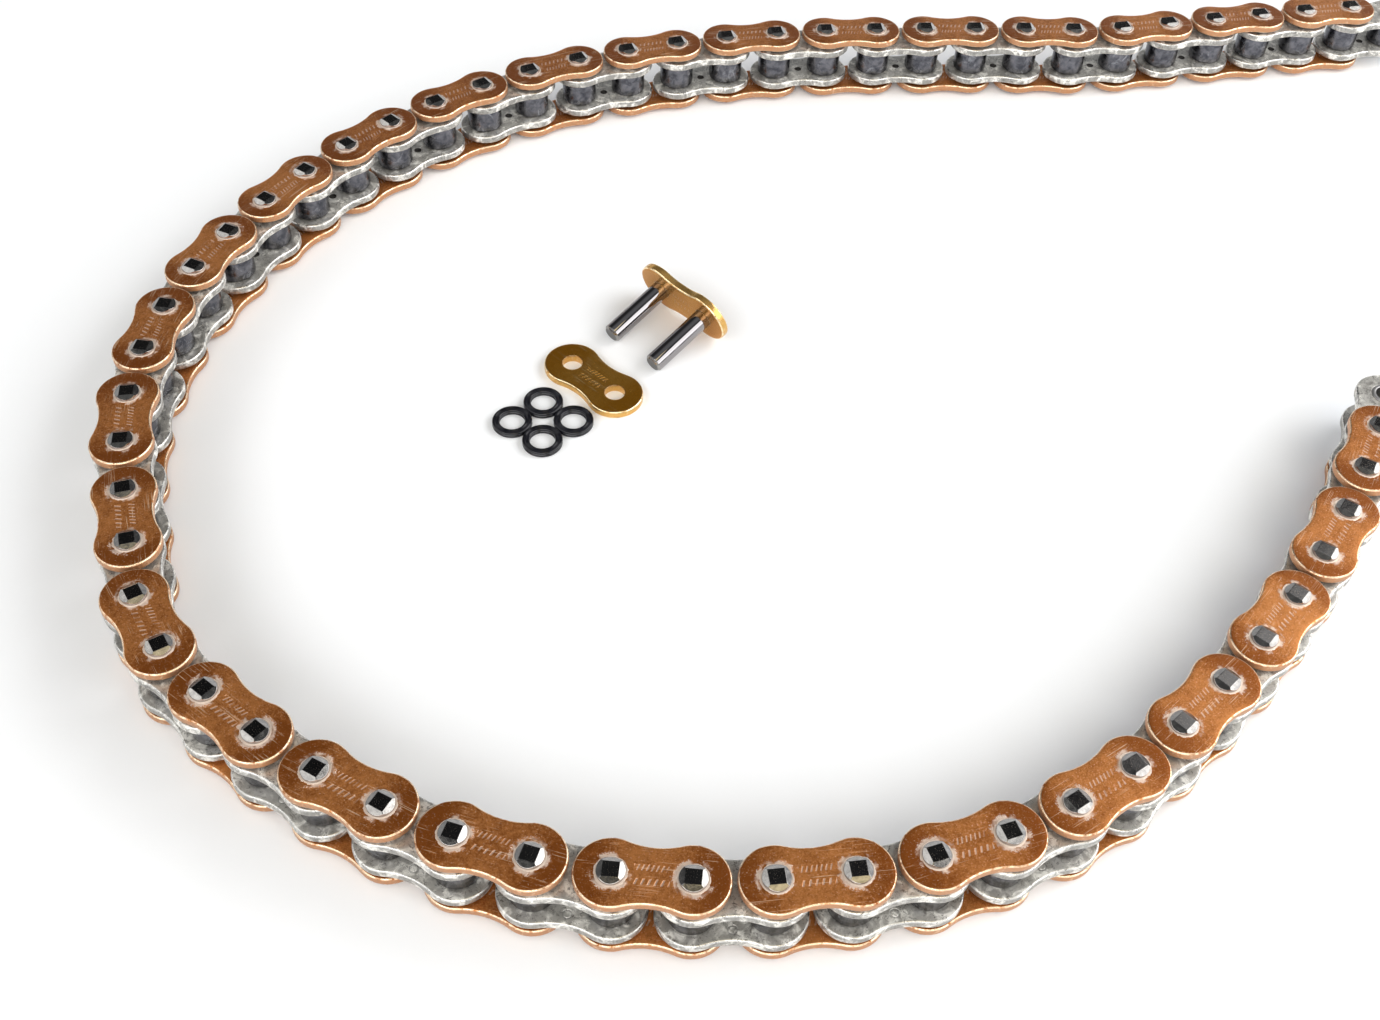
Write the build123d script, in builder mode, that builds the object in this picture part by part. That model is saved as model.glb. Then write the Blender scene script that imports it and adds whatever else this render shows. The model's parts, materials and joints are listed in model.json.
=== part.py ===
"""Sealed roller drive chain of a motorcycle, 5/8 x 5/16 inch, laid open on its side.

Millimetres, +Z up. The chain rests on the ends of its pins at z = 0, and its pins stand
along Z. The origin is the middle of the floor that the lay covers. Inner and outer links
alternate, and both ends are inner links, whose free bushes take the connecting link. The
connecting link lies loose inside the lay: a plate with its two pins, a side plate and four
sealing rings. Each link is one node of separate solids, because each link moves by itself.
"""
import os
from math import atan2, cos, degrees, hypot, radians, sin

from build123d import *

# ---------------------------------------------------------------- driving dimensions
PITCH = 15.875            # 5/8 inch, from pin to pin
ROLLER_D = 10.16
INNER_WIDTH = 7.94        # between the two inner plates
PIN_D = 5.24
PIN_LENGTH = 21.2         # over both staked ends
HEAD_D = 5.8              # a pin's end, spread by staking
STAKE_WIDTH = 1.25        # each of the four slopes punched into a pin's end
STAKE_DEPTH = 0.7
BUSH_D = 7.2
BUSH_STICKOUT = 0.3       # past the outside of each inner plate
INNER_T = 2.3             # inner plate
OUTER_T = 2.2             # outer plate
PLATE_GAP = 1.0           # between inner and outer plate, where the seal sits
PLATE_END_R = 7.45
PLATE_WAIST = 12.2        # height of a plate at the middle of its length
EDGE_BREAK = 0.35         # chamfer on a plate's outline
DIMPLE_D = 2.2            # blind hole in the inside of each inner plate
DIMPLE_DEPTH = 0.6

PIN_CLEARANCE = 0.05      # radial, pin in bush
ROLLER_CLEARANCE = 0.05   # radial, roller on bush
ROLLER_SIDE_PLAY = 0.1    # at each end of a roller
SEAL_ID = 7.5
SEAL_OD = 10.6
SEAL_PLAY = 0.1           # between a seal and the inner plate that turns beside it

RING_OD = 10.3            # a loose ring of the connecting link, not squeezed
RING_LOBE_R = 0.48        # its section has four round lobes about a round core
RING_LOBE_X = 0.47
RING_LOBE_Z = 0.42
RING_CORE_R = 0.72
LOOSE_PIN_LENGTH = 19.4   # of the connecting link, from its plate to the tip
TIP_CHAMFER = 0.6

# ---------------------------------------------------------------- the lay of the chain
# From the free end at the back right, anticlockwise: each run is a number of links and the
# degrees by which each of them turns to the left of the link before.
FIRST_HEADING = -167.1
RUNS = [
    (6, 0.3), (2, -5.5), (4, 0.9), (5, 3.1), (9, 5.2), (5, 7.6),
    (2, 1.3), (2, 14.2), (4, 5.2), (7, 6.0), (3, 7.2), (8, 3.0),
]

# Where the loose pieces lie, from the origin, and the direction of their pitch line.
PIN_PLATE_AT = (-47.6, 14.6)
PIN_PLATE_HEADING = -42.7
SIDE_PLATE_AT = (-69.7, -10.3)
SIDE_PLATE_HEADING = -41.4
RINGS_AT = (-81.5, -26.1)
RINGS_HEADING = 4.6
RING_SPREAD = (7.85, 6.85)    # from the middle of the four rings to each pair's centres

# ---------------------------------------------------------------- what follows from them
MIDDLE_Z = PIN_LENGTH / 2
INNER_PLATE_Z = INNER_WIDTH / 2
SEAL_Z = INNER_PLATE_Z + INNER_T
OUTER_PLATE_Z = SEAL_Z + PLATE_GAP
HEAD_LENGTH = MIDDLE_Z - OUTER_PLATE_Z - OUTER_T

# The waist arc bulges into the plate and meets both end arcs along their tangents.
HALF_PITCH = PITCH / 2
HALF_WAIST = PLATE_WAIST / 2
WAIST_R = (HALF_PITCH**2 + HALF_WAIST**2 - PLATE_END_R**2) / (2 * (PLATE_END_R - HALF_WAIST))
REACH = PLATE_END_R / (PLATE_END_R + WAIST_R)
TANGENT_X = HALF_PITCH * REACH
TANGENT_Y = (HALF_WAIST + WAIST_R) * REACH


# ---------------------------------------------------------------- plates
def link_plate(bottom, thickness, hole_d):
    """A figure-of-eight plate with holes at x = 0 and x = PITCH, its lower face at bottom."""
    with BuildPart() as plate:
        with BuildSketch(Plane.XY.offset(bottom)):
            with BuildLine():
                near_top = (TANGENT_X, TANGENT_Y)
                near_bottom = (TANGENT_X, -TANGENT_Y)
                far_top = (PITCH - TANGENT_X, TANGENT_Y)
                far_bottom = (PITCH - TANGENT_X, -TANGENT_Y)
                ThreePointArc(near_top, (-PLATE_END_R, 0), near_bottom)
                ThreePointArc(near_bottom, (HALF_PITCH, -HALF_WAIST), far_bottom)
                ThreePointArc(far_bottom, (PITCH + PLATE_END_R, 0), far_top)
                ThreePointArc(far_top, (HALF_PITCH, HALF_WAIST), near_top)
            make_face()
            with Locations((0, 0), (PITCH, 0)):
                Circle(hole_d / 2, mode=Mode.SUBTRACT)
        extrude(amount=thickness)
        flats = plate.faces().sort_by(Axis.Z)
        chamfer(flats[0].outer_wire().edges() + flats[-1].outer_wire().edges(), EDGE_BREAK)
    return plate.part


def inner_plate(bottom, inside):
    """An inner plate with a dimple halfway between its bushes, in the face at height inside."""
    inward = 1 if inside == bottom else -1
    with BuildPart() as plate:
        add(link_plate(bottom, INNER_T, BUSH_D))
        with BuildSketch(Plane.XY.offset(inside)):
            with Locations((HALF_PITCH, 0)):
                Circle(DIMPLE_D / 2)
        extrude(amount=inward * DIMPLE_DEPTH, mode=Mode.SUBTRACT)
    return plate.part


with BuildPart() as outer_plates:
    add(link_plate(MIDDLE_Z + OUTER_PLATE_Z, OUTER_T, PIN_D))
    add(link_plate(MIDDLE_Z - OUTER_PLATE_Z - OUTER_T, OUTER_T, PIN_D))

with BuildPart() as inner_plates:
    add(inner_plate(MIDDLE_Z + INNER_PLATE_Z, MIDDLE_Z + INNER_PLATE_Z))
    add(inner_plate(MIDDLE_Z - SEAL_Z, MIDDLE_Z - INNER_PLATE_Z))


# ---------------------------------------------------------------- pins
def staked_blank(length):
    """A square bar from z = 0, with the four slopes of a staked end at the bottom."""
    end_side = HEAD_D - 2 * STAKE_WIDTH
    with BuildPart() as blank:
        with BuildSketch():
            Rectangle(end_side, end_side)
        with BuildSketch(Plane.XY.offset(STAKE_DEPTH)):
            Rectangle(HEAD_D, HEAD_D)
        loft()
        with BuildSketch(Plane.XY.offset(STAKE_DEPTH)):
            Rectangle(HEAD_D, HEAD_D)
        extrude(amount=length - STAKE_DEPTH)
    return blank.part


with BuildPart() as pin:
    add(staked_blank(MIDDLE_Z))
    mirror(about=Plane.XY.offset(MIDDLE_Z))
    with BuildSketch(Plane.XZ):
        with BuildLine():
            Polyline(
                (0, 0),
                (HEAD_D / 2, 0),
                (HEAD_D / 2, HEAD_LENGTH),
                (PIN_D / 2, HEAD_LENGTH),
                (PIN_D / 2, PIN_LENGTH - HEAD_LENGTH),
                (HEAD_D / 2, PIN_LENGTH - HEAD_LENGTH),
                (HEAD_D / 2, PIN_LENGTH),
                (0, PIN_LENGTH),
                close=True,
            )
        make_face()
    revolve(axis=Axis.Z, mode=Mode.INTERSECT)

with BuildPart() as link_pins:
    with Locations((0, 0), (PITCH, 0)):
        add(pin.part)


# ---------------------------------------------------------------- bushes, rollers and seals
def sleeve_pair(outside_d, inside_d, bottom, length):
    """Two plain sleeves round x = 0 and x = PITCH."""
    with BuildPart() as sleeves:
        with BuildSketch(Plane.XY.offset(bottom)):
            with Locations((0, 0), (PITCH, 0)):
                Circle(outside_d / 2)
                Circle(inside_d / 2, mode=Mode.SUBTRACT)
        extrude(amount=length)
    return sleeves.part


bush_length = 2 * (SEAL_Z + BUSH_STICKOUT)
roller_length = INNER_WIDTH - 2 * ROLLER_SIDE_PLAY
seal_length = PLATE_GAP - SEAL_PLAY

with BuildPart() as bushes:
    add(sleeve_pair(BUSH_D, PIN_D + 2 * PIN_CLEARANCE, MIDDLE_Z - bush_length / 2, bush_length))

with BuildPart() as rollers:
    bore_d = BUSH_D + 2 * ROLLER_CLEARANCE
    add(sleeve_pair(ROLLER_D, bore_d, MIDDLE_Z - roller_length / 2, roller_length))

with BuildPart() as seals:
    add(sleeve_pair(SEAL_OD, SEAL_ID, MIDDLE_Z + SEAL_Z + SEAL_PLAY, seal_length))
    add(sleeve_pair(SEAL_OD, SEAL_ID, MIDDLE_Z - OUTER_PLATE_Z, seal_length))


# ---------------------------------------------------------------- the lay
def lay_chain():
    """Each link's pin centre and heading in order, then the last free bush's centre."""
    heading = FIRST_HEADING - RUNS[0][1]
    x, y = 0.0, 0.0
    centres, headings = [(x, y)], []
    for links, bend in RUNS:
        for _ in range(links):
            heading += bend
            x += PITCH * cos(radians(heading))
            y += PITCH * sin(radians(heading))
            headings.append(heading)
            centres.append((x, y))
    middle_x = (max(c[0] for c in centres) + min(c[0] for c in centres)) / 2
    middle_y = (max(c[1] for c in centres) + min(c[1] for c in centres)) / 2
    return [(cx - middle_x, cy - middle_y) for cx, cy in centres], headings


def write_node(name, pieces):
    """One node of separate solids, in its own file."""
    export_step(Compound(label=name, children=pieces), f"parts/{name}.step")


os.makedirs("parts", exist_ok=True)

inner_link = [inner_plates.part, bushes.part, rollers.part]
outer_link = [outer_plates.part, link_pins.part, seals.part]
pin_centres, link_headings = lay_chain()

for index, heading in enumerate(link_headings):
    kind, pieces = ("inner", inner_link) if index % 2 == 0 else ("outer", outer_link)
    x, y = pin_centres[index]
    place = Location((x, y, 0), (0, 0, heading))
    write_node(f"{kind}_link_{index // 2 + 1:02d}", [piece.moved(place) for piece in pieces])


# ---------------------------------------------------------------- the loose connecting link
# Its plate stands on the long edge of its pins' side and leans over them, as far as the
# tips of the pins let it: both touch the floor.
lean = atan2(PLATE_END_R - PIN_D / 2, LOOSE_PIN_LENGTH - TIP_CHAMFER)
plate_heading = radians(PIN_PLATE_HEADING)
along = Vector(cos(plate_heading), sin(plate_heading), 0)
pins_point = Vector(
    sin(plate_heading) * cos(lean), -cos(plate_heading) * cos(lean), -sin(lean)
)
pin_plate_frame = Plane(
    origin=Vector(*PIN_PLATE_AT, PLATE_END_R * cos(lean)) - along * HALF_PITCH,
    x_dir=along,
    z_dir=pins_point,
)

with BuildPart() as loose_pin:
    add(staked_blank(HEAD_LENGTH + OUTER_T + LOOSE_PIN_LENGTH))
    with BuildSketch(Plane.XZ):
        full_length = HEAD_LENGTH + OUTER_T + LOOSE_PIN_LENGTH
        with BuildLine():
            Polyline(
                (0, 0),
                (HEAD_D / 2, 0),
                (HEAD_D / 2, HEAD_LENGTH),
                (PIN_D / 2, HEAD_LENGTH),
                (PIN_D / 2, full_length - TIP_CHAMFER),
                (PIN_D / 2 - TIP_CHAMFER, full_length),
                (0, full_length),
                close=True,
            )
        make_face()
    revolve(axis=Axis.Z, mode=Mode.INTERSECT)

with BuildPart() as loose_pins:
    with Locations((0, 0, -HEAD_LENGTH - OUTER_T), (PITCH, 0, -HEAD_LENGTH - OUTER_T)):
        add(loose_pin.part)

with BuildPart() as pin_plate:
    add(link_plate(-OUTER_T, OUTER_T, PIN_D))

standing = pin_plate_frame.location
write_node("connecting_pin_plate", [pin_plate.part.moved(standing), loose_pins.part.moved(standing)])

with BuildPart() as side_plate:
    add(link_plate(0, OUTER_T, PIN_D))

half_way = Location((-HALF_PITCH, 0, 0))
lying = Location((*SIDE_PLATE_AT, 0), (0, 0, SIDE_PLATE_HEADING)) * half_way
write_node("connecting_side_plate", [side_plate.part.moved(lying)])

ring_height = 2 * (RING_LOBE_Z + RING_LOBE_R)
section_middle_r = RING_OD / 2 - RING_LOBE_X - RING_LOBE_R

with BuildPart() as ring:
    with BuildSketch(Plane.XZ):
        with Locations((section_middle_r, ring_height / 2)):
            Circle(RING_CORE_R)
            with GridLocations(2 * RING_LOBE_X, 2 * RING_LOBE_Z, 2, 2):
                Circle(RING_LOBE_R)
    revolve(axis=Axis.Z)

with BuildPart() as rings:
    spread_x, spread_y = RING_SPREAD
    with Locations((spread_x, 0), (0, spread_y), (-spread_x, 0), (0, -spread_y)):
        add(ring.part)

write_node(
    "connecting_seal_rings",
    [rings.part.moved(Location((*RINGS_AT, 0), (0, 0, RINGS_HEADING)))],
)

closest_rings = hypot(*RING_SPREAD) - RING_OD
print(f"links {len(link_headings)}, lean of the pin plate {degrees(lean):.1f} degrees")
print(f"gap between neighbouring rings {closest_rings:.2f}")
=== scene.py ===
"""Looks of the sealed motorcycle drive chain, in metres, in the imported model's frame.

Every link is built from shared meshes in its own frame: the middle between its two pins is
the origin, X runs from pin to pin and Z along the pins. The links stand where the record's
hinges put them. The loose connecting link lies where its CAD nodes lie.
"""
import json
from math import acos, atan2, cos, pi, radians, sin, sqrt, tan

import bmesh
import bpy
from mathutils import Matrix, Vector


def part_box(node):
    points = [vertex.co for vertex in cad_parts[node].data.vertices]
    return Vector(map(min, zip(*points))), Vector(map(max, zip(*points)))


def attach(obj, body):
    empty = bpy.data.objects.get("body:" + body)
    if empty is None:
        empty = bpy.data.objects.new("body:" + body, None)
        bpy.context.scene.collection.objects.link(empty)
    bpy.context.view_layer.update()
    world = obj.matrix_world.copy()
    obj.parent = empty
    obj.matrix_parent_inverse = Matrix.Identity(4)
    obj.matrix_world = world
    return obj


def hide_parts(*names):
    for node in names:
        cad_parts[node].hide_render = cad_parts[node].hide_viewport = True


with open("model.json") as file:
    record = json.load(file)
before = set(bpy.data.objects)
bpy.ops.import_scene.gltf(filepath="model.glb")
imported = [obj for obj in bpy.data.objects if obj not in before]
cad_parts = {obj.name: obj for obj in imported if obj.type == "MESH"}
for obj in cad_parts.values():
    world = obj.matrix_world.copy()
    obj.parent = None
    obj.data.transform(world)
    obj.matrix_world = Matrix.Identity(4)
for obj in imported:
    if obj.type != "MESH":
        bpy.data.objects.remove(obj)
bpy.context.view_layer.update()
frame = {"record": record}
record = frame["record"]

# ---------------------------------------------------------------- dimensions of the parts
MM = 0.001
PITCH = 15.875 * MM
INNER_WIDTH = 7.94 * MM
INNER_T = 2.3 * MM
OUTER_T = 2.2 * MM
PLATE_GAP = 1.0 * MM
PLATE_END_R = 7.45 * MM
HALF_WAIST = 6.1 * MM
ROLLER_R = 5.08 * MM
ROLLER_HALF = 3.87 * MM
BUSH_R = 3.6 * MM
BUSH_BORE_R = 2.67 * MM
BUSH_HALF = 6.57 * MM
PIN_R = 2.62 * MM
HEAD_R = 2.9 * MM
HEAD_LENGTH = 1.13 * MM
PIN_HALF = 10.6 * MM
STAKE_WIDTH = 1.25 * MM
STAKE_DEPTH = 0.7 * MM
STAKE_FACE_AREA = 0.6 * MM**2   # the staked ends' flat faces are all larger
SEAL_R = 5.3 * MM
SEAL_BORE_R = 3.75 * MM
SEAL_T = 0.9 * MM
SEAL_PLAY = 0.1 * MM
RING_OD = 10.3 * MM
RING_LOBE_R = 0.48 * MM
RING_LOBE_X = 0.47 * MM
RING_LOBE_Z = 0.42 * MM
RING_CORE_R = 0.72 * MM
LOOSE_PIN_LENGTH = 19.4 * MM
TIP_CHAMFER = 0.6 * MM
DIMPLE_R = 1.1 * MM
DIMPLE_DEPTH = 0.6 * MM

# Edge rounds.
OUTER_PLATE_EDGE = 0.42 * MM
INNER_PLATE_EDGE = 0.5 * MM
HOLE_EDGE = 0.18 * MM
PIN_EDGE = 0.07 * MM
ROLLER_EDGE = 0.45 * MM
BUSH_EDGE = 0.2 * MM
BORE_EDGE = 0.15 * MM
ROLLER_CLEARANCE = 0.05 * MM

HALF_PITCH = PITCH / 2
INNER_FACE = INNER_WIDTH / 2
SEAL_FACE = INNER_FACE + INNER_T
OUTER_FACE = SEAL_FACE + PLATE_GAP

# The plate's waist is an arc that bulges inwards and meets both end arcs on their tangents.
WAIST_R = (HALF_PITCH**2 + HALF_WAIST**2 - PLATE_END_R**2) / (2 * (PLATE_END_R - HALF_WAIST))
TANGENT_ANGLE = atan2(HALF_WAIST + WAIST_R, HALF_PITCH)

# ---------------------------------------------------------------- camera
CAMERA_AT = (-0.0427, -0.3084, 0.2917)
CAMERA_DOWN = 48.81       # degrees below the horizon, looking along +Y
CAMERA_ROLL = 2.68
CAMERA_LENS = 41.1        # mm, on the sensor's width
CAMERA_SENSOR = 36

# ---------------------------------------------------------------- mesh settings
SHARP_DEGREES = 32        # edges that turn by more are shaded as edges
PIN_SHARP_DEGREES = 12


# ================================================================ mesh tools
def mesh_object(name, mesh):
    piece = bpy.data.objects.new(name, mesh)
    bpy.context.scene.collection.objects.link(piece)
    return piece


def finish_mesh(bm, name, sharp_degrees=SHARP_DEGREES):
    """The bmesh as a mesh with clean normals, smooth except on edges sharper than given."""
    bmesh.ops.remove_doubles(bm, verts=bm.verts, dist=1e-7)
    bmesh.ops.recalc_face_normals(bm, faces=bm.faces)
    mesh = bpy.data.meshes.new(name)
    bm.to_mesh(mesh)
    bm.free()
    for polygon in mesh.polygons:
        polygon.use_smooth = True
    mesh.set_sharp_from_angle(angle=radians(sharp_degrees))
    return mesh


def rounded(points, radii, steps=3):
    """A closed profile with each corner rounded to its radius."""
    profile = []
    count = len(points)
    for i, radius in enumerate(radii):
        corner = Vector(points[i])
        if radius <= 0:
            profile.append(corner)
            continue
        to_last = (Vector(points[i - 1]) - corner).normalized()
        to_next = (Vector(points[(i + 1) % count]) - corner).normalized()
        half = acos(max(-1.0, min(1.0, to_last.dot(to_next)))) / 2
        centre = corner + (to_last + to_next).normalized() * radius / sin(half)
        start = corner + to_last * radius / tan(half) - centre
        end = corner + to_next * radius / tan(half) - centre
        for step in range(steps + 1):
            mix = step / steps
            direction = (start * (1 - mix) + end * mix).normalized()
            profile.append(centre + direction * radius)
    return profile


def lathe(bm, profile, centre_x=0.0, segments=48):
    """Turns a closed profile of (radius, height) about the line x = centre_x."""
    rings = []
    for k in range(segments):
        angle = 2 * pi * k / segments
        rings.append([
            bm.verts.new((centre_x + p[0] * cos(angle), p[0] * sin(angle), p[1]))
            for p in profile
        ])
    for k in range(segments):
        near, far = rings[k], rings[(k + 1) % segments]
        for i in range(len(profile)):
            j = (i + 1) % len(profile)
            bm.faces.new((near[i], far[i], far[j], near[j]))


def plate_stations():
    """Half of a plate's outline seen from the hole at x = -HALF_PITCH, counterclockwise.

    Each station is a point and its outward normal, or None inside, on the plate's middle line.
    """
    stations = []
    inside_steps, waist_steps, end_steps = 10, 7, 36
    for k in range(1, inside_steps):
        y = HALF_WAIST * (2 * k / inside_steps - 1)
        stations.append((Vector((0, y)), None))
    upper = []
    waist_centre = Vector((0, HALF_WAIST + WAIST_R))
    waist_angle = pi / 2 - TANGENT_ANGLE
    for k in range(waist_steps):
        a = waist_angle * k / waist_steps
        out = Vector((sin(a), cos(a)))
        upper.append((waist_centre - out * WAIST_R, out))
    hole = Vector((-HALF_PITCH, 0))
    for k in range(end_steps // 2 + 1):
        a = TANGENT_ANGLE + (pi - TANGENT_ANGLE) * k / (end_steps // 2)
        out = Vector((cos(a), sin(a)))
        upper.append((hole + out * PLATE_END_R, out))
    stations += upper
    for point, out in reversed(upper[:-1]):
        stations.append((Vector((point.x, -point.y)), Vector((out.x, -out.y))))
    return stations


def plate_quarter(bm, thickness, hole_r, edge):
    """A quarter of a plate: the half round one hole, above the plate's middle plane."""
    half = thickness / 2
    bevel_steps = 4
    columns = []
    hole = Vector((-HALF_PITCH, 0))
    for point, out in plate_stations():
        rim = point if out is None else point - out * edge
        if out is None:
            rim = Vector((0, point.y * (HALF_WAIST - edge) / HALF_WAIST))
        ray = (rim - hole).normalized()
        column = [(hole + ray * hole_r, 0.0)]
        for step in range(3):
            a = pi / 2 * step / 2
            r = hole_r + HOLE_EDGE * (1 - cos(a))
            column.append((hole + ray * r, half - HOLE_EDGE * (1 - sin(a))))
        start = hole + ray * (hole_r + HOLE_EDGE)
        for mix in (0.08, 0.2, 0.35, 0.55, 0.78, 1.0):
            column.append((start.lerp(rim, mix), half))
        if out is not None:
            for step in range(1, bevel_steps + 1):
                a = pi / 2 * step / bevel_steps
                column.append((rim + out * edge * sin(a), half - edge * (1 - cos(a))))
            column.append((rim + out * edge, 0.0))
        columns.append([bm.verts.new((p.x, p.y, z)) for p, z in column])
    for k, near in enumerate(columns):
        far = columns[(k + 1) % len(columns)]
        for i in range(min(len(near), len(far)) - 1):
            bm.faces.new((near[i], near[i + 1], far[i + 1], far[i]))


def plate(bm, bottom, thickness, hole_r, edge):
    """A whole figure-of-eight plate, rounded along its outline, with its lower face at bottom."""
    quarter = bmesh.new()
    plate_quarter(quarter, thickness, hole_r, edge)
    source = bpy.data.meshes.new("plate_quarter")
    quarter.to_mesh(source)
    quarter.free()
    first = len(bm.verts)
    for flip_x in (1, -1):
        for flip_z in (1, -1):
            bm.from_mesh(source)
            bm.verts.ensure_lookup_table()
            fresh = bm.verts[-len(source.vertices):]
            for vert in fresh:
                vert.co.x *= flip_x
                vert.co.z *= flip_z
    bpy.data.meshes.remove(source)
    bm.verts.ensure_lookup_table()
    for vert in bm.verts[first:]:
        vert.co.z += bottom + thickness / 2


def close_outline_gap(bm):
    """Joins the middle line's outline points, which both halves of a plate share."""
    bmesh.ops.remove_doubles(bm, verts=bm.verts, dist=2e-6)


def cut_dimples(mesh):
    """Sinks a blind round dimple in the inside face of both inner plates."""
    cutter = bmesh.new()
    for side in (1, -1):
        centred = Matrix.Translation((0, 0, side * INNER_FACE))
        bmesh.ops.create_cone(cutter, cap_ends=True, segments=32, radius1=DIMPLE_R,
                              radius2=DIMPLE_R, depth=2 * DIMPLE_DEPTH, matrix=centred)
    cutter_mesh = bpy.data.meshes.new("dimple_cutter")
    cutter.to_mesh(cutter_mesh)
    cutter.free()
    tool = mesh_object("dimple_cutter", cutter_mesh)
    blank = mesh_object("plate_blank", mesh)
    boolean = blank.modifiers.new("dimples", "BOOLEAN")
    boolean.operation = "DIFFERENCE"
    boolean.solver = "EXACT"
    boolean.object = tool
    bpy.context.view_layer.update()
    graph = bpy.context.evaluated_depsgraph_get()
    result = bpy.data.meshes.new_from_object(blank.evaluated_get(graph))
    bpy.data.objects.remove(blank)
    bpy.data.objects.remove(tool)
    for polygon in result.polygons:
        polygon.use_smooth = True
    result.set_sharp_from_angle(angle=radians(SHARP_DEGREES))
    return result


# ================================================================ parts' meshes
def outer_plates_mesh():
    bm = bmesh.new()
    plate(bm, OUTER_FACE, OUTER_T, PIN_R, OUTER_PLATE_EDGE)
    plate(bm, -OUTER_FACE - OUTER_T, OUTER_T, PIN_R, OUTER_PLATE_EDGE)
    close_outline_gap(bm)
    return finish_mesh(bm, "outer_plates")


def inner_plates_mesh():
    bm = bmesh.new()
    plate(bm, INNER_FACE, INNER_T, BUSH_R, INNER_PLATE_EDGE)
    plate(bm, -SEAL_FACE, INNER_T, BUSH_R, INNER_PLATE_EDGE)
    close_outline_gap(bm)
    return cut_dimples(finish_mesh(bm, "inner_plates"))


def sleeves_mesh(name, outer_r, bore_r, half_length, outer_edge):
    """Two sleeves, one on each pin's line."""
    corners = [
        (bore_r, -half_length), (outer_r, -half_length), (outer_r, half_length),
        (bore_r, half_length),
    ]
    profile = rounded(corners, [BORE_EDGE, outer_edge, outer_edge, BORE_EDGE])
    bm = bmesh.new()
    for side in (-1, 1):
        lathe(bm, profile, side * HALF_PITCH, 56)
    return finish_mesh(bm, name)


def seals_mesh():
    """Four squeezed sealing rings with a groove round the outside, two at each outer plate."""
    bm = bmesh.new()
    lip, groove = 0.26 * MM, 0.22 * MM
    for face in (SEAL_FACE + SEAL_PLAY, -OUTER_FACE):
        top = face + SEAL_T
        middle = (face + top) / 2
        corners = [
            (SEAL_BORE_R, face), (SEAL_R, face), (SEAL_R, middle - 0.12 * MM),
            (SEAL_R - groove, middle), (SEAL_R, middle + 0.12 * MM), (SEAL_R, top),
            (SEAL_BORE_R, top),
        ]
        radii = [0.1 * MM, lip, 0.05 * MM, 0.06 * MM, 0.05 * MM, lip, 0.1 * MM]
        for side in (-1, 1):
            lathe(bm, rounded(corners, radii), side * HALF_PITCH)
    return finish_mesh(bm, "seals", 50)


def stake_end(bm, height, outward):
    """Cuts the four flats of a quad-staked end at the given height, round x = 0."""
    for x, y in ((1, 0), (-1, 0), (0, 1), (0, -1)):
        reach = HEAD_R - STAKE_WIDTH
        everything = bm.verts[:] + bm.edges[:] + bm.faces[:]
        cut = bmesh.ops.bisect_plane(
            bm, geom=everything, dist=1e-8,
            plane_co=(x * reach, y * reach, height),
            plane_no=(x * STAKE_DEPTH, y * STAKE_DEPTH, outward * STAKE_WIDTH),
            clear_outer=True,
        )
        rim = [item for item in cut["geom_cut"] if isinstance(item, bmesh.types.BMEdge)]
        bmesh.ops.contextual_create(bm, geom=rim)


def pin_blank(profile):
    """A turned pin as a closed bmesh: the profile runs from end to end, off the axis."""
    bm = bmesh.new()
    segments = 48
    rings = []
    for r, z in profile:
        rings.append([
            bm.verts.new((r * cos(2 * pi * k / segments), r * sin(2 * pi * k / segments), z))
            for k in range(segments)
        ])
    for near, far in zip(rings, rings[1:]):
        for k in range(segments):
            j = (k + 1) % segments
            bm.faces.new((near[k], near[j], far[j], far[k]))
    bm.faces.new(rings[0])
    bm.faces.new(rings[-1])
    bmesh.ops.recalc_face_normals(bm, faces=bm.faces)
    return bm


def soften(bm):
    """A small round on every edge of a pin that turns by more than 20 degrees."""
    edges = [e for e in bm.edges if len(e.link_faces) == 2 and e.calc_face_angle() > radians(20)]
    bmesh.ops.bevel(bm, geom=edges, offset=PIN_EDGE, segments=2, profile=0.6, affect="EDGES",
                    clamp_overlap=True)


def copy_to_pin_lines(bm, name):
    """The same pin on both pin lines of a link, as one mesh."""
    single = bpy.data.meshes.new("single")
    bm.to_mesh(single)
    bm.free()
    pair = bmesh.new()
    for side in (-1, 1):
        count = len(pair.verts)
        pair.from_mesh(single)
        pair.verts.ensure_lookup_table()
        for vert in pair.verts[count:]:
            vert.co.x += side * HALF_PITCH
    bpy.data.meshes.remove(single)
    mesh = finish_mesh(pair, name, PIN_SHARP_DEGREES)
    for polygon in mesh.polygons:
        if abs(polygon.normal.z) > 0.3 and polygon.area > STAKE_FACE_AREA:
            polygon.use_smooth = False
    return mesh


def link_pins_mesh():
    neck = PIN_HALF - HEAD_LENGTH
    bm = pin_blank([
        (HEAD_R, -PIN_HALF), (HEAD_R, -neck), (PIN_R, -neck),
        (PIN_R, neck), (HEAD_R, neck), (HEAD_R, PIN_HALF),
    ])
    stake_end(bm, PIN_HALF, 1)
    stake_end(bm, -PIN_HALF, -1)
    soften(bm)
    return copy_to_pin_lines(bm, "link_pins")


def loose_pins_mesh():
    """Pins from the staked end below the plate (at z = 0) to the chamfered tip."""
    foot = -HEAD_LENGTH - OUTER_T
    tip = LOOSE_PIN_LENGTH
    bm = pin_blank([
        (HEAD_R, foot), (HEAD_R, foot + HEAD_LENGTH), (PIN_R, foot + HEAD_LENGTH),
        (PIN_R, 0.3 * tip), (PIN_R, 0.6 * tip), (PIN_R, tip - TIP_CHAMFER),
        (PIN_R - TIP_CHAMFER, tip),
    ])
    stake_end(bm, foot, -1)
    soften(bm)
    return copy_to_pin_lines(bm, "loose_pins")


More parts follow.
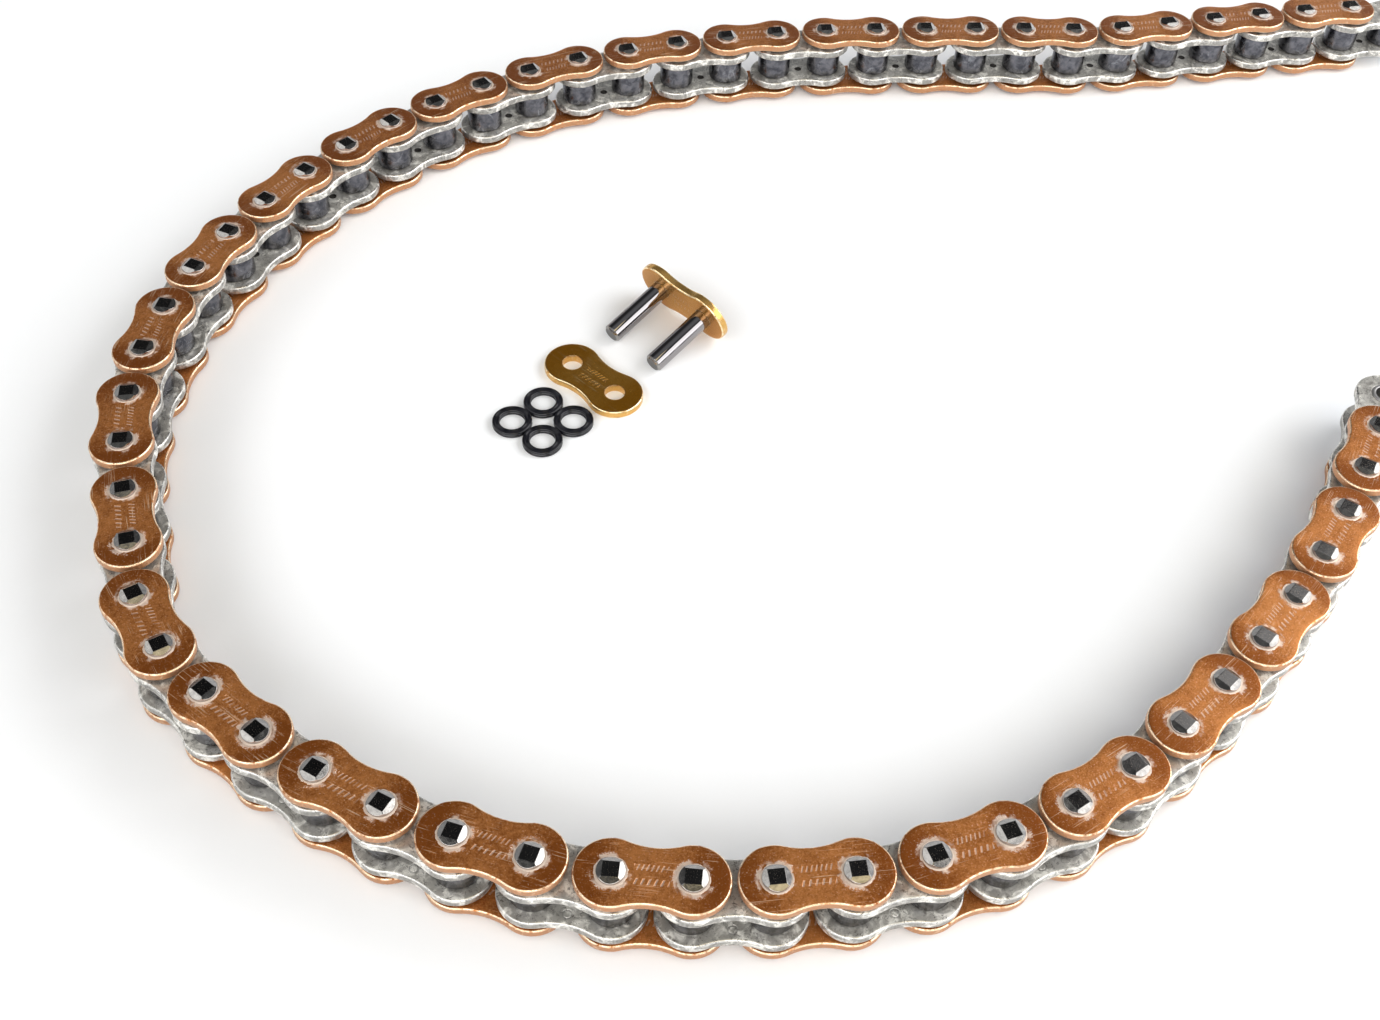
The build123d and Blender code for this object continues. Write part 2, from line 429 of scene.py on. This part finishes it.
def single_plate_mesh(name, bottom):
    bm = bmesh.new()
    plate(bm, bottom, OUTER_T, PIN_R, OUTER_PLATE_EDGE)
    close_outline_gap(bm)
    return finish_mesh(bm, name)


def lobed_radius(angle):
    """How far a loose ring's section reaches from its middle: four lobes about a core."""
    reach = RING_CORE_R
    for side in (1, -1):
        for level in (1, -1):
            x, z = side * RING_LOBE_X, level * RING_LOBE_Z
            ahead = x * cos(angle) + z * sin(angle)
            inside = ahead**2 - x**2 - z**2 + RING_LOBE_R**2
            if ahead > 0 and inside > 0:
                reach = max(reach, ahead + sqrt(inside))
    return reach


def ring_mesh():
    """A loose sealing ring with the four-lobed section of an X-ring."""
    bm = bmesh.new()
    steps = 56
    middle = RING_OD / 2 - RING_LOBE_X - RING_LOBE_R
    profile = []
    for k in range(steps):
        a = 2 * pi * k / steps
        profile.append((middle + lobed_radius(a) * cos(a), lobed_radius(a) * sin(a)))
    lathe(bm, profile, 0.0, 80)
    return finish_mesh(bm, "seal_ring", 70)


# ================================================================ materials
class Graph:
    """Short calls for building one node material."""

    def __init__(self, name):
        self.material = bpy.data.materials.new(name)
        self.material.use_nodes = True
        self.tree = self.material.node_tree
        self.shader = self.tree.nodes["Principled BSDF"]

    def node(self, kind, **settings):
        made = self.tree.nodes.new(kind)
        for key, value in settings.items():
            setattr(made, key, value)
        return made

    def put(self, value, socket):
        if isinstance(value, bpy.types.NodeSocket):
            self.tree.links.new(value, socket)
        else:
            socket.default_value = value

    def math(self, operation, a, b=0.0, clamp=False):
        made = self.node("ShaderNodeMath", operation=operation, use_clamp=clamp)
        self.put(a, made.inputs[0])
        self.put(b, made.inputs[1])
        return made.outputs[0]

    def ease(self, value, low, high):
        """0 below low and 1 above high, smooth between; falls instead if high is below low."""
        made = self.node("ShaderNodeMapRange", interpolation_type="SMOOTHSTEP")
        self.put(value, made.inputs["Value"])
        if low <= high:
            limits = (low, high, 0.0, 1.0)
        else:
            limits = (high, low, 1.0, 0.0)
        for key, number in zip(("From Min", "From Max", "To Min", "To Max"), limits):
            made.inputs[key].default_value = number
        return made.outputs["Result"]

    def mix(self, factor, a, b):
        """Colour a, or colour b where factor is 1."""
        made = self.node("ShaderNodeMix", data_type="RGBA")
        self.put(factor, made.inputs["Factor"])
        self.put(a, made.inputs["A"])
        self.put(b, made.inputs["B"])
        return made.outputs["Result"]

    def lerp(self, factor, a, b):
        """Number a, or number b where factor is 1."""
        made = self.node("ShaderNodeMix", data_type="FLOAT")
        self.put(factor, made.inputs["Factor"])
        self.put(a, made.inputs["A"])
        self.put(b, made.inputs["B"])
        return made.outputs["Result"]

    def noise(self, place, scale, detail=4.0, roughness=0.55, distortion=0.0):
        made = self.node("ShaderNodeTexNoise")
        self.put(place, made.inputs["Vector"])
        made.inputs["Scale"].default_value = scale
        made.inputs["Detail"].default_value = detail
        made.inputs["Roughness"].default_value = roughness
        made.inputs["Distortion"].default_value = distortion
        return made.outputs["Fac"]

    def place(self):
        """The piece's own millimetres, the same shifted for each piece, and its chance number."""
        coordinates = self.node("ShaderNodeTexCoord")
        scaled = self.node("ShaderNodeVectorMath", operation="SCALE")
        self.tree.links.new(coordinates.outputs["Object"], scaled.inputs[0])
        scaled.inputs["Scale"].default_value = 1000.0
        chance = self.node("ShaderNodeObjectInfo").outputs["Random"]
        shift = self.node("ShaderNodeCombineXYZ")
        self.put(self.math("MULTIPLY", chance, 173.0), shift.inputs["X"])
        self.put(self.math("MULTIPLY", chance, 71.0), shift.inputs["Y"])
        self.put(self.math("MULTIPLY", chance, 39.0), shift.inputs["Z"])
        shifted = self.node("ShaderNodeVectorMath", operation="ADD")
        self.tree.links.new(scaled.outputs["Vector"], shifted.inputs[0])
        self.tree.links.new(shift.outputs["Vector"], shifted.inputs[1])
        return scaled.outputs["Vector"], shifted.outputs["Vector"], chance

    def stretched(self, vector, scale, turn=0.0):
        """Coordinates stretched and turned about Z, for streaks."""
        made = self.node("ShaderNodeMapping")
        self.put(vector, made.inputs["Vector"])
        made.inputs["Rotation"].default_value = (0.0, 0.0, radians(turn))
        made.inputs["Scale"].default_value = scale
        return made.outputs["Vector"]

    def split(self, vector):
        made = self.node("ShaderNodeSeparateXYZ")
        self.put(vector, made.inputs["Vector"])
        return made.outputs["X"], made.outputs["Y"], made.outputs["Z"]

    def up(self):
        """How far the surface faces along the piece's own Z: 1 on flat faces, 0 on its sides."""
        normal = self.node("ShaderNodeTexCoord").outputs["Normal"]
        return self.math("ABSOLUTE", self.split(normal)[2])

    def from_pins(self, x, y):
        """Millimetres to the nearer pin's axis."""
        along = self.math("SUBTRACT", self.math("ABSOLUTE", x), HALF_PITCH / MM)
        squares = self.math("ADD", self.math("POWER", along, 2.0), self.math("POWER", y, 2.0))
        return self.math("SQRT", squares)

    def bump(self, height, distance, strength=1.0, under=None):
        made = self.node("ShaderNodeBump")
        self.put(height, made.inputs["Height"])
        made.inputs["Distance"].default_value = distance
        made.inputs["Strength"].default_value = strength
        if under is not None:
            self.put(under, made.inputs["Normal"])
        return made.outputs["Normal"]

    def set(self, **values):
        names = {
            "color": "Base Color", "metallic": "Metallic", "roughness": "Roughness",
            "normal": "Normal", "specular": "Specular IOR Level",
        }
        for key, value in values.items():
            self.put(value, self.shader.inputs[names[key]])
        return self.material


def stamped_marks(g, x, y):
    """Two rows of plain slanted strokes, as a batch stamp between a plate's pins."""
    rows = []
    slanted = g.math("ADD", x, g.math("MULTIPLY", y, -0.35))
    for centre, pitch, offset in ((1.5, 0.95, 0.0), (-1.5, 1.3, 0.4)):
        in_row = g.ease(g.math("ABSOLUTE", g.math("SUBTRACT", y, centre)), 0.7, 0.6)
        in_reach = g.ease(g.math("ABSOLUTE", x), 3.6, 3.5)
        phase = g.math("FRACT", g.math("ADD", g.math("DIVIDE", slanted, pitch), 20.0 + offset))
        stroke = g.ease(g.math("ABSOLUTE", g.math("SUBTRACT", phase, 0.5)), 0.2, 0.12)
        rows.append(g.math("MULTIPLY", g.math("MULTIPLY", in_row, in_reach), stroke))
    return g.math("MAXIMUM", rows[0], rows[1])


def die_marks(g, x, y):
    """A fine circle on each side of the pitch line, halfway between the pins."""
    circle_y, circle_r = 3.75, 0.9
    off = g.math("SUBTRACT", g.math("ABSOLUTE", y), circle_y)
    squares = g.math("ADD", g.math("POWER", x, 2.0), g.math("POWER", off, 2.0))
    from_circle = g.math("ABSOLUTE", g.math("SUBTRACT", g.math("SQRT", squares), circle_r))
    return g.ease(from_circle, 0.22, 0.1)


def scratches(g, place, turn, threshold):
    """Fine straight scratches in one direction."""
    lines = g.noise(g.stretched(place, (0.05, 5.0, 1.0), turn), 1.0, 2.0, 0.5, 0.25)
    gate = g.noise(place, 0.22, 1.0)
    fine = g.ease(lines, threshold, threshold + 0.05)
    return g.math("MULTIPLY", fine, g.ease(gate, 0.45, 0.62))


def plated_plate(name, deep, light, side, worn, scraped_and_highlight, roughness, body, relief=0.06 * MM,
                 marks=False, grease=0.0, ringed=1.0, speckled=0.35):
    """Plating on stamped steel: mottled, edge-worn, with scrapes and a painted highlight round
    the pins.

    body is how metallic the flat faces are: below 1 they scatter like a matt plated skin.
    relief is the height of the pits, ringed the strength of the pale rings round the pins, partly
    scrapes in the plating and partly a painted highlight, and speckled that of the pale specks.
    """
    g = Graph(name)
    place, shifted, chance = g.place()
    x, y, z = g.split(place)
    up = g.up()
    flat = g.ease(up, 0.93, 0.99)
    on_side = g.ease(up, 0.35, 0.12)
    on_edge = g.math("SUBTRACT", g.math("SUBTRACT", 1.0, flat), on_side, clamp=True)

    broad = g.noise(shifted, 0.12, 2.0)
    mottle = g.noise(shifted, 0.8, 6.0, 0.68, 0.5)
    grain = g.noise(shifted, 2.6, 5.0, 0.75)
    tone = g.math("ADD", g.math("MULTIPLY", broad, 0.3), g.math("MULTIPLY", mottle, 0.5))
    tone = g.math("ADD", tone, g.math("MULTIPLY", grain, 0.8))
    tone = g.math("ADD", tone, g.math("MULTIPLY", g.math("SUBTRACT", chance, 0.5), 0.12))
    # Painted shade: the flat faces' colour darkens from the plate's middle towards its rounded
    # ends.
    painted_shade_to_ends = g.math("MULTIPLY", g.ease(g.math("ABSOLUTE", x), 3.0, 15.0), 0.3)
    color = g.mix(g.ease(g.math("SUBTRACT", tone, painted_shade_to_ends), 0.5, 0.95), deep, light)
    specks = g.math("MULTIPLY", g.ease(grain, 0.58, 0.7), speckled)
    color = g.mix(specks, color, scraped_and_highlight)

    streaks = g.noise(g.stretched(shifted, (2.6, 2.6, 0.22)), 1.0, 3.0, 0.6)
    streak = g.math("MULTIPLY", g.ease(streaks, 0.35, 0.72), 0.4)
    # Painted light and shade: the side faces take their own colour, side, paler than the flat
    # faces on the copper and gold plates and darker on the nickel ones, as light falls on them.
    side_color = g.mix(streak, side, light)
    bare = g.math("MULTIPLY", g.ease(mottle, 0.55, 0.7), 0.5)
    side_color = g.mix(bare, side_color, worn)
    color = g.mix(on_side, color, side_color)

    wear_noise = g.noise(shifted, 0.75, 4.0, 0.65)
    wear = g.math("MULTIPLY", on_edge, g.ease(wear_noise, 0.3, 0.55))
    color = g.mix(wear, color, worn)

    reach = g.from_pins(x, y)
    # Pale ring round each pin: scrapes in the plating and a painted highlight of its raised rim.
    ragged = g.math("ADD", reach, g.math("MULTIPLY", g.math("SUBTRACT", mottle, 0.5), 1.1))
    ring = g.math("MULTIPLY", g.ease(ragged, 3.38, 3.26), flat)
    patches = g.ease(g.noise(shifted, 0.3, 2.0), 0.45, 0.6)
    frayed = g.math("ADD", ragged, g.math("MULTIPLY", g.math("SUBTRACT", grain, 0.5), 3.4))
    fray = g.math("MULTIPLY", g.math("MULTIPLY", g.ease(frayed, 4.2, 3.8), flat), patches)
    ring = g.math("MULTIPLY", g.math("MAXIMUM", ring, g.math("MULTIPLY", fray, 0.75)), ringed)
    color = g.mix(ring, color, scraped_and_highlight)

    scratch = g.math("MAXIMUM", scratches(g, shifted, 24.0, 0.64),
                     scratches(g, shifted, -58.0, 0.65))
    scratch = g.math("MULTIPLY", scratch, flat)
    color = g.mix(g.math("MULTIPLY", scratch, 0.6), color, worn)

    unevenness = g.math("MULTIPLY", g.math("SUBTRACT", mottle, 0.5), 0.7 * roughness)
    rough = g.math("ADD", roughness, unevenness)
    rough = g.lerp(on_side, rough, roughness)
    rough = g.lerp(wear, rough, 0.26)
    metallic = g.lerp(g.math("MULTIPLY", ring, 0.6), body, 0.4)
    metallic = g.lerp(on_edge, metallic, 1.0)
    height = g.math("ADD", g.math("MULTIPLY", mottle, 0.7), g.math("MULTIPLY", grain, 0.5))
    height = g.math("SUBTRACT", height, g.math("MULTIPLY", scratch, 0.25))
    height = g.math("ADD", height, g.math("MULTIPLY", g.math("MULTIPLY", streaks, on_side), 1.2))
    height = g.math("ADD", height, g.math("MULTIPLY", ring, 0.8))
    normal = g.bump(height, relief)
    if marks:
        stamp = g.math("MULTIPLY", stamped_marks(g, x, y), flat)
        worn_off = g.ease(g.noise(shifted, 0.35, 2.0), 0.3, 0.5)
        stamp = g.math("MULTIPLY", stamp, worn_off)
        color = g.mix(g.math("MULTIPLY", stamp, 0.45), color, scraped_and_highlight)
        normal = g.bump(g.math("SUBTRACT", 1.0, stamp), 0.06 * MM, 1.0, normal)
    if grease:
        film = g.ease(g.noise(shifted, 0.34, 5.0, 0.6, 0.8), 0.46, 0.66)
        film = g.math("MULTIPLY", film, grease)
        color = g.mix(film, color, (0.94, 0.92, 0.86, 1))
        rough = g.lerp(film, rough, 0.5)
        metallic = g.lerp(film, metallic, 0.35)
        crease = g.noise(g.stretched(shifted, (0.5, 0.5, 0.9)), 1.0, 3.0, 0.6, 1.6)
        line = g.ease(g.math("ABSOLUTE", g.math("SUBTRACT", crease, 0.5)), 0.028, 0.008)
        stains_and_shade = g.math("MULTIPLY", line, g.ease(wear_noise, 0.42, 0.56))
        # Darker round the pins, where the outer plates overlap: grease stains and painted shade.
        grease_and_shade_by_pins = g.math("MULTIPLY", g.ease(reach, 6.2, 4.8), g.ease(wear_noise, 0.35, 0.6))
        stains_and_shade = g.math("MAXIMUM", stains_and_shade, g.math("MULTIPLY", grease_and_shade_by_pins, 0.6))
        color = g.mix(g.math("MULTIPLY", stains_and_shade, 0.8), color, (0.09, 0.08, 0.07, 1))
        depth = g.math("ABSOLUTE", z)
        inner_face, seal_face, dimple_r = INNER_FACE / MM, SEAL_FACE / MM, DIMPLE_R / MM
        inside = g.ease(depth, inner_face + 0.06, inner_face + 0.02)
        die = g.math("MULTIPLY", die_marks(g, x, y), inside)
        color = g.mix(g.math("MULTIPLY", die, 0.35), color, (0.2, 0.19, 0.18, 1))
        normal = g.bump(g.math("SUBTRACT", 1.0, die), 0.08 * MM, 1.0, normal)
        middle = g.math("SQRT", g.math("ADD", g.math("POWER", x, 2.0), g.math("POWER", y, 2.0)))
        # Painted shade: the walls and floor of each dimple are coloured dark.
        dimple = g.ease(middle, dimple_r + 0.15, dimple_r)
        dimple = g.math("MULTIPLY", dimple, g.math("SUBTRACT", 1.0, inside))
        dimple = g.math("MULTIPLY", dimple, g.ease(depth, seal_face - 1.2, seal_face - 1.4))
        color = g.mix(dimple, color, (0.09, 0.086, 0.08, 1))
    return g.set(color=color, metallic=metallic, roughness=rough, normal=normal)


def pin_steel(name, shaft_shine, painted_dark_reflection):
    """Hardened, polished pins: a few tarnished specks and a painted dark reflection on their
    ends.
    """
    g = Graph(name)
    shifted = g.place()[1]
    up = g.up()
    flat = g.ease(up, 0.9, 0.98)
    on_shaft = g.ease(up, 0.3, 0.1)
    cloud = g.noise(shifted, 0.8, 4.0, 0.6, 0.3)
    turned = g.noise(g.stretched(shifted, (0.2, 0.2, 9.0)), 1.0, 2.0)
    specks = g.noise(shifted, 5.0, 3.0, 0.6)
    color = g.mix(g.ease(cloud, 0.3, 0.7), (0.25, 0.24, 0.23, 1), (0.38, 0.365, 0.345, 1))
    color = g.mix(on_shaft, color, (0.31, 0.295, 0.3, 1))
    # Painted dark reflection: the flat end faces are darkened nearly to black.
    color = g.mix(g.math("MULTIPLY", flat, painted_dark_reflection), color, (0.07, 0.067, 0.067, 1))
    dots = g.math("MULTIPLY", g.ease(specks, 0.62, 0.7), flat)
    color = g.mix(g.math("MULTIPLY", dots, 0.6), color, (0.62, 0.5, 0.38, 1))
    rough = g.math("ADD", 0.1, g.math("MULTIPLY", cloud, 0.12))
    rough = g.lerp(on_shaft, rough, shaft_shine)
    rough = g.lerp(dots, rough, 0.4)
    height = g.math("ADD", g.math("MULTIPLY", cloud, 0.6), g.math("MULTIPLY", specks, 0.1))
    height = g.math("MULTIPLY", height, g.math("SUBTRACT", 1.0, on_shaft))
    height = g.math("ADD", height, g.math("MULTIPLY", turned, 0.04))
    return g.set(color=color, metallic=1.0, roughness=rough, normal=g.bump(height, 0.02 * MM))


def roller_steel():
    g = Graph("roller_steel")
    shifted = g.place()[1]
    cloud = g.noise(shifted, 0.45, 4.0, 0.6, 0.5)
    fine = g.noise(shifted, 4.0, 3.0)
    hoops = g.noise(g.stretched(shifted, (0.15, 0.15, 6.0)), 1.0, 3.0)
    color = g.mix(g.ease(cloud, 0.3, 0.7), (0.06, 0.062, 0.074, 1), (0.18, 0.18, 0.2, 1))
    # Pale bluish blotches: greasy smears with painted highlights of the glossy rollers.
    smear_and_highlight = g.ease(g.noise(shifted, 0.3, 5.0, 0.65, 1.0), 0.56, 0.68)
    color = g.mix(g.math("MULTIPLY", smear_and_highlight, 0.35), color, (0.5, 0.52, 0.56, 1))
    rough = g.math("ADD", 0.16, g.math("MULTIPLY", cloud, 0.16))
    rough = g.lerp(g.math("MULTIPLY", smear_and_highlight, 0.6), rough, 0.5)
    height = g.math("ADD", g.math("MULTIPLY", hoops, 0.3), g.math("MULTIPLY", fine, 0.2))
    height = g.math("ADD", height, g.math("MULTIPLY", cloud, 0.8))
    return g.set(color=color, metallic=1.0, roughness=rough, normal=g.bump(height, 0.03 * MM))


def bush_steel():
    g = Graph("bush_steel")
    shifted = g.place()[1]
    cloud = g.noise(shifted, 0.6, 4.0)
    hoops = g.noise(g.stretched(shifted, (0.15, 0.15, 8.0)), 1.0, 3.0)
    color = g.mix(g.ease(cloud, 0.3, 0.7), (0.42, 0.41, 0.4, 1), (0.6, 0.59, 0.57, 1))
    rough = g.math("ADD", 0.24, g.math("MULTIPLY", cloud, 0.16))
    return g.set(color=color, metallic=1.0, roughness=rough,
                 normal=g.bump(g.math("ADD", cloud, g.math("MULTIPLY", hoops, 0.4)), 0.02 * MM))


def seal_rubber(name, gloss):
    """Black nitrile rubber with a film of grease and a few pale specks of dust."""
    g = Graph(name)
    shifted = g.place()[1]
    cloud = g.noise(shifted, 0.5, 4.0, 0.6)
    fine = g.noise(shifted, 6.0, 3.0)
    dust = g.ease(g.noise(shifted, 3.0, 4.0, 0.7), 0.68, 0.76)
    color = g.mix(g.ease(cloud, 0.35, 0.7), (0.003, 0.003, 0.005, 1), (0.008, 0.008, 0.012, 1))
    color = g.mix(g.math("MULTIPLY", dust, 0.15), color, (0.2, 0.2, 0.21, 1))
    rough = g.math("ADD", gloss, g.math("MULTIPLY", cloud, 0.06))
    return g.set(color=color, metallic=0.0, roughness=rough, specular=0.45,
                 normal=g.bump(g.math("ADD", cloud, g.math("MULTIPLY", fine, 0.15)), 0.02 * MM))


def floor_paper():
    """Matt white paper with the faintest mottling."""
    g = Graph("floor_paper")
    place = g.node("ShaderNodeTexCoord").outputs["Object"]
    cloud = g.noise(place, 6.0, 3.0)
    fibre = g.noise(place, 900.0, 2.0)
    color = g.mix(g.ease(cloud, 0.3, 0.7), (0.92, 0.935, 0.955, 1), (0.935, 0.95, 0.97, 1))
    return g.set(color=color, roughness=0.85, specular=0.2, normal=g.bump(fibre, 0.02 * MM))


copper = plated_plate(
    "copper_plating", deep=(0.28, 0.076, 0.009, 1), light=(0.63, 0.245, 0.07, 1),
    side=(0.5, 0.265, 0.145, 1), worn=(0.92, 0.7, 0.48, 1), scraped_and_highlight=(0.98, 0.81, 0.68, 1),
    roughness=0.4, body=0.74, relief=0.08 * MM, marks=True, speckled=0.48,
)
nickel = plated_plate(
    "nickel_plating", deep=(0.46, 0.445, 0.41, 1), light=(0.6, 0.585, 0.545, 1),
    side=(0.3, 0.29, 0.27, 1), worn=(0.62, 0.61, 0.58, 1), scraped_and_highlight=(0.6, 0.58, 0.55, 1),
    roughness=0.36, body=0.7, grease=0.9, ringed=0.3,
)
gold = plated_plate(
    "gold_plating", deep=(0.5, 0.205, 0.012, 1), light=(0.62, 0.31, 0.05, 1),
    side=(0.7, 0.42, 0.13, 1), worn=(0.98, 0.8, 0.5, 1), scraped_and_highlight=(0.7, 0.45, 0.2, 1),
    roughness=0.24, body=0.85, relief=0.02 * MM, marks=True, ringed=0.0, speckled=0.08,
)
pins_metal = pin_steel("pin_steel", 0.16, 0.8)
bright_pins_metal = pin_steel("pin_steel_bright", 0.05, 0.85)
rollers_metal = roller_steel()
bushes_metal = bush_steel()
seals_rubber = seal_rubber("seal_rubber_squeezed", 0.35)
rings_rubber = seal_rubber("seal_rubber_loose", 0.03)


# ================================================================ the links
def with_material(mesh, material):
    mesh.materials.clear()
    mesh.materials.append(material)
    return mesh


outer_plates = with_material(outer_plates_mesh(), copper)
inner_plates = with_material(inner_plates_mesh(), nickel)
link_pins = with_material(link_pins_mesh(), pins_metal)
seals = with_material(seals_mesh(), seals_rubber)
rollers = with_material(
    sleeves_mesh("rollers", ROLLER_R, BUSH_R + ROLLER_CLEARANCE, ROLLER_HALF, ROLLER_EDGE),
    rollers_metal)
bushes = with_material(
    sleeves_mesh("bushes", BUSH_R, BUSH_BORE_R, BUSH_HALF, BUSH_EDGE), bushes_metal)


def add_piece(name, mesh, where, body):
    piece = mesh_object(name, mesh)
    piece.matrix_world = where
    bpy.context.view_layer.update()
    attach(piece, body)
    return piece


LINK_PARTS = {
    "outer": [("plates", outer_plates, "copper_plate"), ("pins", link_pins, "pin_steel"),
              ("seals", seals, "seal_rubber")],
    "inner": [("plates", inner_plates, "nickel_plate"), ("rollers", rollers, "roller_steel"),
              ("bushes", bushes, "roller_steel")],
}

mounts = {mount["name"]: Vector(mount["pos_m"]) for mount in record["mounts"]}
hinges = {
    joint["name"]: Vector(joint["pos_m"])
    for joint in record["behaviour"]["joints"]
    if joint["type"] == "hinge"
}
pin_line = [mounts["first_end_bush"]]
pin_line += [hinges[name] for name in sorted(hinges)]
pin_line += [mounts["last_end_bush"]]

for index, (start, end) in enumerate(zip(pin_line, pin_line[1:])):
    kind = "inner" if index % 2 == 0 else "outer"
    body = f"{kind}_link_{index // 2 + 1:02d}"
    heading = atan2(end.y - start.y, end.x - start.x)
    where = Matrix.Translation((start + end) / 2) @ Matrix.Rotation(heading, 4, "Z")
    for part, mesh, slot in LINK_PARTS[kind]:
        piece = add_piece(f"{body}_{part}", mesh, where, body)
        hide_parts(body)


# ================================================================ the loose connecting link
def box_middle(node):
    low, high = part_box(node)
    return (Vector(low) + Vector(high)) / 2


LOOSE_HEADING = radians(-42.7)
SIDE_PLATE_HEADING = radians(-41.4)
RINGS_HEADING = radians(4.6)
RING_SPREAD = (7.85 * MM, 6.85 * MM)
LOOSE_AT = Vector((-0.0476, 0.0146, 0.0))

# The plate stands on its long edge and leans over its pins, whose tips touch the floor too.
lean = atan2(PLATE_END_R - PIN_R, LOOSE_PIN_LENGTH - TIP_CHAMFER)
along = Vector((cos(LOOSE_HEADING), sin(LOOSE_HEADING), 0))
pins_point = Vector((
    sin(LOOSE_HEADING) * cos(lean), -cos(LOOSE_HEADING) * cos(lean), -sin(lean)))
across = pins_point.cross(along)
stand = Matrix((along, across, pins_point)).transposed().to_4x4()
stand.translation = LOOSE_AT + Vector((0, 0, PLATE_END_R * cos(lean)))

plate_piece = add_piece(
    "connecting_plate", with_material(single_plate_mesh("connecting_plate", -OUTER_T), gold),
    stand, "connecting_pin_plate")
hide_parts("connecting_pin_plate")
add_piece("connecting_pins", with_material(loose_pins_mesh(), bright_pins_metal), stand,
          "connecting_pin_plate")

side_middle = box_middle("connecting_side_plate")
lying = Matrix.Translation((side_middle.x, side_middle.y, 0))
lying = lying @ Matrix.Rotation(SIDE_PLATE_HEADING, 4, "Z")
side_piece = add_piece(
    "connecting_side_plate_finished",
    with_material(single_plate_mesh("side_plate", 0.0), gold),
    lying, "connecting_side_plate")
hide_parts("connecting_side_plate")

ring = with_material(ring_mesh(), rings_rubber)
rings_middle = box_middle("connecting_seal_rings")
turn = Matrix.Rotation(RINGS_HEADING, 4, "Z")
spread_x, spread_y = RING_SPREAD
for number, spot in enumerate(((spread_x, 0), (0, spread_y), (-spread_x, 0), (0, -spread_y)), 1):
    offset = turn @ Vector((spot[0], spot[1], 0))
    at = Vector((rings_middle.x, rings_middle.y, RING_LOBE_Z + RING_LOBE_R)) + offset
    ring_piece = add_piece(f"seal_ring_{number}", ring, Matrix.Translation(at) @ turn,
                           "connecting_seal_rings")
    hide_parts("connecting_seal_rings")

# ================================================================ floor, light and camera
FLOOR_R = 2.0
FLOOR_CORNERS = 96
floor_edge = [
    (FLOOR_R * cos(2 * pi * k / FLOOR_CORNERS), FLOOR_R * sin(2 * pi * k / FLOOR_CORNERS), 0)
    for k in range(FLOOR_CORNERS)
]
floor_mesh = bpy.data.meshes.new("floor")
floor_mesh.from_pydata(floor_edge, [], [list(range(FLOOR_CORNERS))])
floor_mesh.materials.append(floor_paper())
floor = mesh_object("floor", floor_mesh)


def softbox(name, azimuth, elevation, distance, width, depth, power, tint=(1, 1, 1)):
    """An area light aimed at the middle of the lay; azimuth 0 is +Y and 90 is +X."""
    light = bpy.data.lights.new(name, "AREA")
    light.shape = "RECTANGLE"
    light.size, light.size_y = width, depth
    light.energy = power
    light.color = tint
    a, e = radians(azimuth), radians(elevation)
    lamp = bpy.data.objects.new(name, light)
    direction = Vector((sin(a) * cos(e), cos(a) * cos(e), sin(e)))
    lamp.location = direction * distance
    lamp.rotation_mode = "QUATERNION"
    lamp.rotation_quaternion = direction.to_track_quat("Z", "Y")
    lamp.visible_camera = False
    bpy.context.scene.collection.objects.link(lamp)


WARM = (1.0, 0.84, 0.5)

softbox("window_right", azimuth=98, elevation=34, distance=2.9, width=4.0, depth=2.0, power=72)
softbox("ceiling_front", azimuth=160, elevation=57, distance=3.25, width=1.3, depth=1.9,
        power=12, tint=WARM)
softbox("front_low", azimuth=196, elevation=34, distance=3.0, width=3.25, depth=1.4, power=56)
softbox("fill_left", azimuth=260, elevation=40, distance=3.0, width=3.0, depth=1.6, power=28)
softbox("near_right", azimuth=70, elevation=47, distance=0.8, width=0.5, depth=0.4, power=1.3)

# The surroundings are bright at the horizon, dark above, and brighter towards +X.
world = bpy.data.worlds.new("studio")
bpy.context.scene.world = world
world.use_nodes = True
sky = world.node_tree
direction = sky.nodes.new("ShaderNodeTexCoord")
parts = sky.nodes.new("ShaderNodeSeparateXYZ")
sky.links.new(direction.outputs["Generated"], parts.inputs["Vector"])
by_height = sky.nodes.new("ShaderNodeValToRGB")
sky.links.new(parts.outputs["Z"], by_height.inputs["Fac"])
stops = by_height.color_ramp.elements
horizon, zenith = stops[0], stops[1]
horizon.position = 0.0
horizon.color = (1.15, 1.17, 1.2, 1)
zenith.position = 1.0
zenith.color = (0.25, 0.26, 0.27, 1)
for position, value in ((0.26, 0.95), (0.44, 0.09), (0.85, 0.045)):
    stop = stops.new(position)
    stop.color = (value, value * 1.02, value * 1.06, 1)
by_side = sky.nodes.new("ShaderNodeMapRange")
sky.links.new(parts.outputs["X"], by_side.inputs["Value"])
for key, number in (("From Min", -0.8), ("From Max", 0.7), ("To Min", 0.6), ("To Max", 1.4)):
    by_side.inputs[key].default_value = number
sky.links.new(by_height.outputs["Color"], sky.nodes["Background"].inputs["Color"])
sky.links.new(by_side.outputs["Result"], sky.nodes["Background"].inputs["Strength"])

camera_data = bpy.data.cameras.new("camera")
camera_data.lens = CAMERA_LENS
camera_data.sensor_width = CAMERA_SENSOR
camera_data.clip_start = 0.01
camera = bpy.data.objects.new("camera", camera_data)
bpy.context.scene.collection.objects.link(camera)
tilt = Matrix.Rotation(radians(90 - CAMERA_DOWN), 4, "X")
roll = Matrix.Rotation(radians(CAMERA_ROLL), 4, "Z")
camera.matrix_world = Matrix.Translation(CAMERA_AT) @ tilt @ roll
bpy.context.scene.camera = camera
bpy.context.scene.view_settings.view_transform = "Standard"

bpy.context.view_layer.update()
